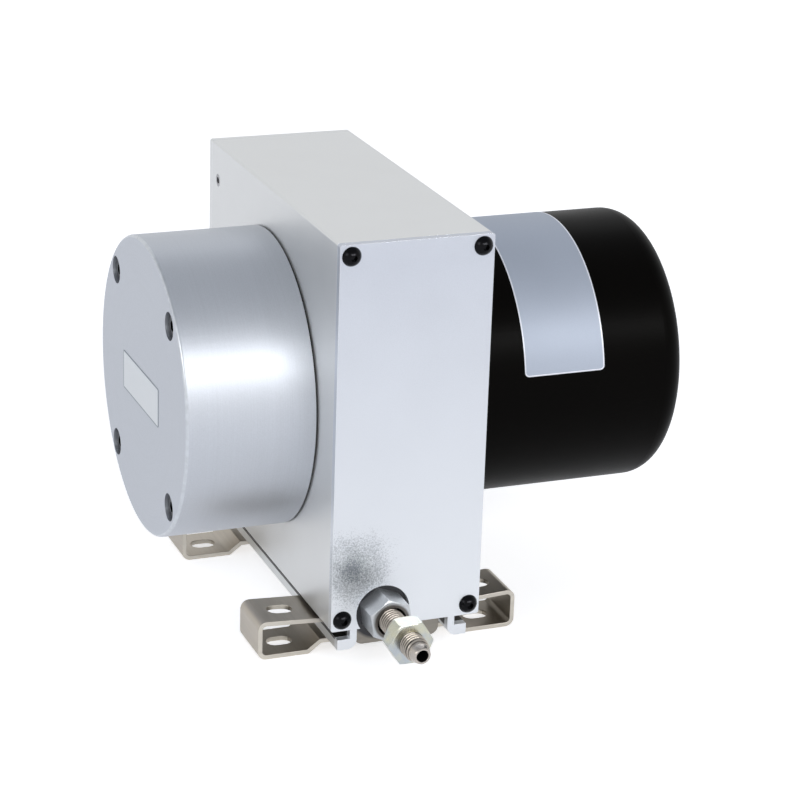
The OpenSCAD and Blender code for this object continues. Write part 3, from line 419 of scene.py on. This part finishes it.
FINISHES["matte_black"].set("Specular IOR Level", 0.04)

# Painted shade on the block's face in the plate's cut-out and on the hexagon's face behind the nut,
# about the outlet
for slot_name, shade_r, shade_colour in (
    ("stainless_block", BLOCK_SHADE_R, tone(72, 72, 74)),
    ("bright_steel", HEXAGON_SHADE_R, tone(112, 108, 104)),
):
    shaded_finish = FINISHES[slot_name]
    shaded_finish.overlay(shaded_finish.ramp(shaded_finish.distance(outlet_axis) / shade_r, (0.9, 1.0), (1.0, 0.0)), shade_colour)

# Painted shade: the frame is darkened in the rails' grooves
FRAME_FACE = blasted("anodised frame", tone(229, 230, 230), 0.38)
groove_place = (FRAME_FACE.parts()[2] - GROOVE_Z) / GROOVE_H
groove_shade_mask = FRAME_FACE.ramp(groove_place, (0.0, 0.0), (0.05, 1.0), (0.86, 1.0), (0.92, 0.0))
FRAME_FACE.overlay(groove_shade_mask, tone(62, 60, 57))

# Painted light: the plate is darker at its top and paler towards its foot, with a painted dark
# reflection beside the outlet
PLATE_FACE = blasted("anodised plate", tone(205, 209, 218), 0.40)
plate_rise = PLATE_FACE.parts()[2] / body_high.z
PLATE_FACE.overlay(PLATE_FACE.ramp(plate_rise, (0.15, 1.0), (0.95, 0.0)), tone(237, 240, 244))
PLATE_FACE.overlay(PLATE_FACE.grainy_fade(PAINTED_REFLECTION_PLACE, PAINTED_REFLECTION_REACH), tone(106, 112, 120))

WORN_ALUMINIUM = brushed("worn aluminium edge", tone(244, 246, 250), 0.26, "Z", contrast=0.05)
TURNED_EDGE = polished("turned chamfer", tone(208, 212, 218), 0.30)
THREAD = threaded("rolled thread", tone(190, 182, 172), 0.26)
# Painted shade: a darker stainless sheet for the faces inside the front feet's bends
SHADED_SHEET = brushed("stainless sheet in painted shade", tone(156, 148, 136), 0.38, "Y")
SHEARED_EDGE = brushed("sheared steel edge", tone(214, 208, 197), 0.42, "X", contrast=0.06)
SILVER_FILM = blasted("silver label film", tone(176, 184, 198), 0.52, metallic=0.45, contrast=0.05)
SILVER_FILM_EDGE = blasted("silver label edge", tone(232, 234, 242), 0.38, metallic=0.3, contrast=0.03)
PALE_FILM = blasted("pale label film", tone(228, 232, 236), 0.40, metallic=0.2, contrast=0.03)
PALE_FILM_EDGE = blasted("pale label edge", tone(150, 158, 166), 0.45, metallic=0.2, contrast=0.03)

slot_of = {part["node"]: part["material_slot"] for part in frame["record"]["subparts"]}
body_of = {
    node: body for body, nodes in frame["record"]["behaviour"]["bodies"].items() for node in nodes
}

for node_name, cad_object in frame["nodes"].items():
    cad_object.data.materials.clear()
    cad_object.data.materials.append(FINISHES[slot_of[node_name]].material)


# ---- Pieces ----


def as_object(name, bm, *finishes, smooth_angle=35.0):
    """Turns a bmesh into an object, smooth where faces meet at a small angle."""
    mesh = bpy.data.meshes.new(name)
    for finish in finishes:
        mesh.materials.append(finish.material)
    bm.to_mesh(mesh)
    bm.free()
    mesh.shade_smooth()
    mesh.set_sharp_from_angle(angle=math.radians(smooth_angle))
    made = bpy.data.objects.new(name, mesh)
    bpy.context.scene.collection.objects.link(made)
    return made


def settle(made, body):
    """Lets a finished piece ride on a body."""
    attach(made, body)
    return made


def eased(node, width, look=None, edge_look=None, inner_look=None, end_look=None, sharp_angle=32.0):
    """A CAD node with its sharp edges broken, shown in the node's place.

    edge_look is the finish of the broken edges. On a bent strip, end_look is that of the faces
    that look along Y and inner_look that of the faces inside the bend.
    """
    bm = bmesh.new()
    bm.from_mesh(frame["nodes"][node].data)
    # The loose triangles become whole flat faces, so that the bevel follows real edges
    bmesh.ops.remove_doubles(bm, verts=bm.verts, dist=0.002 * MM)
    bmesh.ops.dissolve_limit(
        bm, angle_limit=math.radians(0.5), verts=bm.verts, edges=bm.edges, use_dissolve_boundaries=False
    )
    limit = math.radians(sharp_angle)
    sharp = [e for e in bm.edges if len(e.link_faces) == 2 and e.calc_face_angle() > limit]
    outer = [e for e in sharp if e.is_convex]
    broken = bmesh.ops.bevel(
        bm,
        geom=outer,
        offset=width,
        offset_type="OFFSET",
        affect="EDGES",
        segments=2,
        profile=0.5,
        clamp_overlap=True,
        material=-1,
    )["faces"]
    finishes = [look or FINISHES[slot_of[node]]]
    bm.normal_update()
    if inner_look:
        finishes.append(inner_look)
        centre = middle(node)
        for face in bm.faces:
            face.material_index = int((centre - face.calc_center_median()).dot(face.normal) > 0)
    if end_look:
        finishes.append(end_look)
        for face in bm.faces:
            if abs(face.normal.y) > 0.6:
                face.material_index = len(finishes) - 1
    if edge_look:
        finishes.append(edge_look)
        for face in broken:
            face.material_index = len(finishes) - 1
    made = as_object(node + "_eased", bm, *finishes)
    weighting = made.modifiers.new("even shading", "WEIGHTED_NORMAL")
    weighting.keep_sharp = True
    settle(made, body_of[node])
    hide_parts(node)
    return made


# Wire end: the stud with its rolled thread, and a tapered tip with a bore


def threaded_stud():
    """The rolled thread is swept along a helix; the tip is a smooth cone with a deep bore."""
    pitch = 1.25 * MM
    tip_chamfer = 0.3 * MM
    bore_r = 1.95 * MM
    bore_chamfer = 0.1 * MM
    bore_depth = 9.0 * MM
    thread_gap = 0.8 * MM
    outwards = Vector((0, -1, 0))
    start_y = stud_high.y - thread_gap
    # Where the cone has cut the thread away down to its root
    cone_y = STUD_TAPER_Y - (STUD_CREST_R - STUD_ROOT_R) / STUD_TAPER_SLOPE

    # One tooth, as radius and share of the pitch, swept along a helix
    tooth = [
        (STUD_ROOT_R, 0.0),
        (STUD_CREST_R, 0.40),
        (STUD_CREST_R, 0.52),
        (STUD_ROOT_R, 0.92),
        (STUD_ROOT_R, 1.0),
    ]
    begin = Vector((outlet_axis.x, start_y + pitch, outlet_axis.z))
    bm = bmesh.new()
    line = [bm.verts.new(begin + Vector((0, 0, r)) + outwards * d * pitch) for r, d in tooth]
    edges = [bm.edges.new(pair) for pair in zip(line, line[1:])]
    steps = 36
    turns = math.ceil((start_y - cone_y) / pitch) + 2
    bmesh.ops.spin(
        bm,
        geom=line + edges,
        cent=begin,
        axis=outwards,
        angle=math.tau * turns,
        dvec=outwards * pitch / steps,
        steps=steps * turns,
        use_merge=False,
    )
    bmesh.ops.remove_doubles(bm, verts=bm.verts, dist=0.01 * MM)

    # Towards the tip the thread is turned down to a cone
    for vert in bm.verts:
        limit = STUD_CREST_R - STUD_TAPER_SLOPE * (STUD_TAPER_Y - vert.co.y)
        across = vert.co - outlet_axis
        radius = math.hypot(across.x, across.z)
        if radius > limit:
            vert.co.x = outlet_axis.x + across.x * limit / radius
            vert.co.z = outlet_axis.z + across.z * limit / radius
    rims = []
    for plane_y, side in ((start_y, 1), (cone_y, -1)):
        cut = bmesh.ops.bisect_plane(
            bm,
            geom=bm.verts[:] + bm.edges[:] + bm.faces[:],
            plane_co=Vector((0, plane_y, 0)),
            plane_no=Vector((0, side, 0)),
            clear_outer=True,
        )
        rims.append([e for e in cut["geom_cut"] if isinstance(e, bmesh.types.BMEdge)])
    bmesh.ops.contextual_create(bm, geom=rims[0])

    # The cone, the tip's rounded ring and the bore
    rim = rims[1]
    for radius, y in (
        (STUD_TIP_R, stud_low.y + tip_chamfer),
        (STUD_TIP_R - tip_chamfer, stud_low.y),
        (bore_r + bore_chamfer, stud_low.y),
        (bore_r, stud_low.y + bore_chamfer),
        (bore_r, stud_low.y + bore_depth),
    ):
        grown = bmesh.ops.extrude_edge_only(bm, edges=rim)["geom"]
        rim = [e for e in grown if isinstance(e, bmesh.types.BMEdge)]
        for vert in (v for v in grown if isinstance(v, bmesh.types.BMVert)):
            across = vert.co - outlet_axis
            share = radius / math.hypot(across.x, across.z)
            vert.co = (outlet_axis.x + across.x * share, y, outlet_axis.z + across.z * share)
    bmesh.ops.contextual_create(bm, geom=rim)
    bmesh.ops.recalc_face_normals(bm, faces=bm.faces)
    for face in bm.faces:
        face.material_index = int(face.calc_center_median().y < cone_y)
    made = as_object("threaded_wire_stud", bm, THREAD, FINISHES["stainless_stud"], smooth_angle=25.0)
    settle(made, "wire_end")
    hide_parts("wire_stud")
    return made


def measuring_wire():
    """The straight wire, from the housing out to the stud."""
    low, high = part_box("wire_lead")
    centre = middle("wire_lead")
    radius = (high.x - low.x) / 2
    bm = bmesh.new()
    bmesh.ops.create_circle(bm, cap_ends=True, radius=radius, segments=12)
    bmesh.ops.rotate(bm, verts=bm.verts, cent=(0, 0, 0), matrix=Matrix.Rotation(math.pi / 2, 3, "X"))
    bmesh.ops.translate(bm, verts=bm.verts, vec=(centre.x, high.y, centre.z))
    stretches = 48
    caps = bm.faces[:]
    for _ in range(stretches):
        grown = bmesh.ops.extrude_face_region(bm, geom=caps)["geom"]
        caps = [face for face in grown if isinstance(face, bmesh.types.BMFace)]
        ends = {v for face in caps for v in face.verts}
        bmesh.ops.translate(bm, verts=list(ends), vec=(0, (low.y - high.y) / stretches, 0))
    bmesh.ops.recalc_face_normals(bm, faces=bm.faces)
    made = as_object("measuring_wire", bm, FINISHES["wire_rope"])
    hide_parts("wire_lead")
    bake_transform(made)
    return made


# Bare labels: a film with a thin lighter edge


def label_film(name, width, height, corner, place, film, edge, strips=0):
    """A rounded film, made flat and then laid on the housing by place(u, v, lift)."""
    bm = bmesh.new()
    bmesh.ops.create_grid(bm, x_segments=1, y_segments=1, size=0.5)
    bmesh.ops.scale(bm, vec=(width, height, 1), verts=bm.verts)
    bmesh.ops.bevel(
        bm,
        geom=bm.verts[:],
        offset=corner,
        offset_type="OFFSET",
        affect="VERTICES",
        segments=6,
        profile=0.5,
        clamp_overlap=True,
        material=-1,
    )
    grown = bmesh.ops.extrude_face_region(bm, geom=bm.faces[:])["geom"]
    top = [face for face in grown if isinstance(face, bmesh.types.BMFace)]
    raised = list({v for face in top for v in face.verts})
    bmesh.ops.translate(bm, verts=raised, vec=(0, 0, LABEL_T))
    bmesh.ops.recalc_face_normals(bm, faces=bm.faces)
    for face in bm.faces:
        face.material_index = 1
    upper = [face for face in bm.faces if face.normal.z > 0.9]
    bmesh.ops.inset_region(bm, faces=upper, thickness=LABEL_RIM_W, depth=-LABEL_RIM_H)
    for face in upper:
        face.material_index = 0
    for i in range(1, strips):
        bmesh.ops.bisect_plane(
            bm,
            geom=bm.verts[:] + bm.edges[:] + bm.faces[:],
            plane_co=(0, height * (i / strips - 0.5), 0),
            plane_no=(0, 1, 0),
        )
    for vert in bm.verts:
        vert.co = place(vert.co.x, vert.co.y, vert.co.z)
    bmesh.ops.recalc_face_normals(bm, faces=bm.faces)
    made = as_object(name, bm, film, edge, smooth_angle=30.0)
    return settle(made, "housing")


def on_spring_end(u, v, lift):
    """A place on the flat end of the silver housing."""
    return SPRING_LABEL_MIDDLE + Vector((-lift, u, v))


def on_sensor_wall(u, v, lift):
    """A place on the black housing's round wall; v runs round it."""
    radius = sensor_radius + lift
    angle = SENSOR_LABEL_MIDDLE + v / sensor_radius
    y = drum_axis.y + radius * math.sin(angle)
    z = drum_axis.z + radius * math.cos(angle)
    return Vector((SENSOR_LABEL_X + u, y, z))


label_film(
    "spring_housing_label",
    SPRING_LABEL_W,
    SPRING_LABEL_H,
    SPRING_LABEL_CORNER,
    on_spring_end,
    PALE_FILM,
    PALE_FILM_EDGE,
)
label_film(
    "sensor_housing_label",
    SENSOR_LABEL_W,
    SENSOR_LABEL_ARC * sensor_radius,
    SENSOR_LABEL_CORNER,
    on_sensor_wall,
    SILVER_FILM,
    SILVER_FILM_EDGE,
    strips=40,
)

# Broken edges
eased("housing_frame", FRAME_EDGE, look=FRAME_FACE, edge_look=WORN_ALUMINIUM)
eased("front_plate", PLATE_EDGE, look=PLATE_FACE, edge_look=WORN_ALUMINIUM)
eased("rear_plate", PLATE_EDGE, edge_look=WORN_ALUMINIUM)
eased("outlet_block", BLOCK_EDGE)
# The front feet's faces inside the bend take the sheet in painted shade
for foot in ("front_left_foot", "front_right_foot"):
    eased(foot, SHEET_EDGE, inner_look=SHADED_SHEET, end_look=SHEARED_EDGE)
for foot in ("rear_left_foot", "rear_right_foot"):
    eased(foot, SHEET_EDGE, end_look=SHEARED_EDGE)
for fine_part in ("outlet_nozzle", "stud_nut"):
    eased(fine_part, FINE_EDGE)

# The silver housing's chamfer is turned brighter than its faces
silver_housing = eased("spring_housing", FINE_EDGE, edge_look=TURNED_EDGE)
for face in silver_housing.data.polygons:
    if 0.3 < abs(face.normal.x) < 0.95:
        face.material_index = 1

threaded_stud()
measuring_wire()


# ---- Studio: floor, lamps and camera ----


FLOOR_HALF_SIZE = 3.0
FLOOR_DROP = 0.05 * MM
FLOOR_GLOW = (0.60, 0.60, 0.60, 1.0)
SKY_WHITE = (1.0, 1.0, 1.0, 1.0)
SKY_HORIZON = (0.825, 0.831, 0.838, 1.0)
SKY_OVERHEAD = (0.325, 0.350, 0.388, 1.0)
LAMP_TARGET = Vector((0, 0, 70 * MM))
CAMERA_PLACE = Vector((-0.28850, -0.77166, 0.36905))
CAMERA_AZIMUTH = math.radians(-21.89)
CAMERA_ELEVATION = math.radians(20.18)
CAMERA_ROLL = math.radians(1.94)
CAMERA_LENS = 119.59


def studio_floor():
    """A pale floor that glows to white where it is seen, and still takes the object's shadow."""
    bm = bmesh.new()
    bmesh.ops.create_grid(bm, x_segments=1, y_segments=1, size=FLOOR_HALF_SIZE)
    bmesh.ops.translate(bm, verts=bm.verts, vec=(0, 0, -FLOOR_DROP))
    finish = Finish("studio floor", tone(236, 236, 238), 0.85)
    finish.set("Specular IOR Level", 0.0)
    plain = finish.shader.outputs[0]
    glow = finish.node("ShaderNodeEmission", (), {"Color": FLOOR_GLOW}).outputs[0]
    glowing = finish.node("ShaderNodeAddShader", (), {0: plain, 1: glow}).outputs[0]
    surface = finish.shaders(finish.seen(reflected=0.55), plain, glowing)
    finish.feed(finish.tree.nodes["Material Output"].inputs["Surface"], surface)
    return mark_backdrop(as_object("studio_floor", bm, finish))


def studio_sky():
    """Light from all round, paler at the horizon than overhead; white where the camera sees it.

    Glass shows that white too, and metal a share of it.
    """
    world = bpy.data.worlds.new("studio")
    bpy.context.scene.world = world
    world.use_nodes = True
    sky = Nodes(world.node_tree)
    way = sky.node("ShaderNodeTexCoord").outputs["Generated"]
    height = sky.node("ShaderNodeSeparateXYZ", (), {0: way}).outputs["Z"]
    stops = ((0.36, SKY_HORIZON), (0.75, SKY_OVERHEAD))
    colour = sky.node("ShaderNodeValToRGB", {"stops": stops}, {"Fac": height}).outputs["Color"]
    lit = sky.tree.nodes["Background"]
    sky.feed(lit.inputs["Color"], colour)
    white = sky.node("ShaderNodeBackground", (), {"Color": SKY_WHITE})
    surface = sky.shaders(sky.seen(reflected=0.2), lit.outputs[0], white.outputs[0])
    sky.feed(sky.tree.nodes["World Output"].inputs["Surface"], surface)


def softbox(name, place, size, power):
    """A wide lamp that points at the object."""
    light = bpy.data.lights.new(name, "AREA")
    light.shape = "RECTANGLE"
    light.size, light.size_y = size
    light.energy = power
    lamp = bpy.data.objects.new(name, light)
    turn = (LAMP_TARGET - Vector(place)).to_track_quat("-Z", "Y")
    lamp.matrix_world = Matrix.Translation(place) @ turn.to_matrix().to_4x4()
    bpy.context.scene.collection.objects.link(lamp)


def studio_camera():
    """The camera stands in front, to the left and above, with a slight roll."""
    level = Vector((math.cos(CAMERA_AZIMUTH), math.sin(CAMERA_AZIMUTH), 0))
    ahead = Vector((-level.y, level.x, 0))
    back = -math.cos(CAMERA_ELEVATION) * ahead + Vector((0, 0, math.sin(CAMERA_ELEVATION)))
    upright = back.cross(level)
    right = math.cos(CAMERA_ROLL) * level + math.sin(CAMERA_ROLL) * upright
    up = math.cos(CAMERA_ROLL) * upright - math.sin(CAMERA_ROLL) * level
    data = bpy.data.cameras.new("camera")
    data.sensor_width = 36.0
    data.lens = CAMERA_LENS
    data.clip_start = 0.05
    camera = bpy.data.objects.new("camera", data)
    turn = Matrix((right, up, back)).transposed().to_4x4()
    camera.matrix_world = Matrix.Translation(CAMERA_PLACE) @ turn
    bpy.context.scene.collection.objects.link(camera)
    bpy.context.scene.camera = camera


studio_floor()
studio_sky()
softbox("front lamp", place=(0.36, -2.06, 1.18), size=(2.0, 0.34), power=19.0)
softbox("left lamp", place=(-1.8, -0.9, 1.0), size=(1.0, 0.9), power=5.5)
softbox("back lamp", place=(0.3, 1.5, 1.5), size=(2.0, 0.5), power=1.6)
studio_camera()
bpy.context.scene.view_settings.view_transform = "Standard"
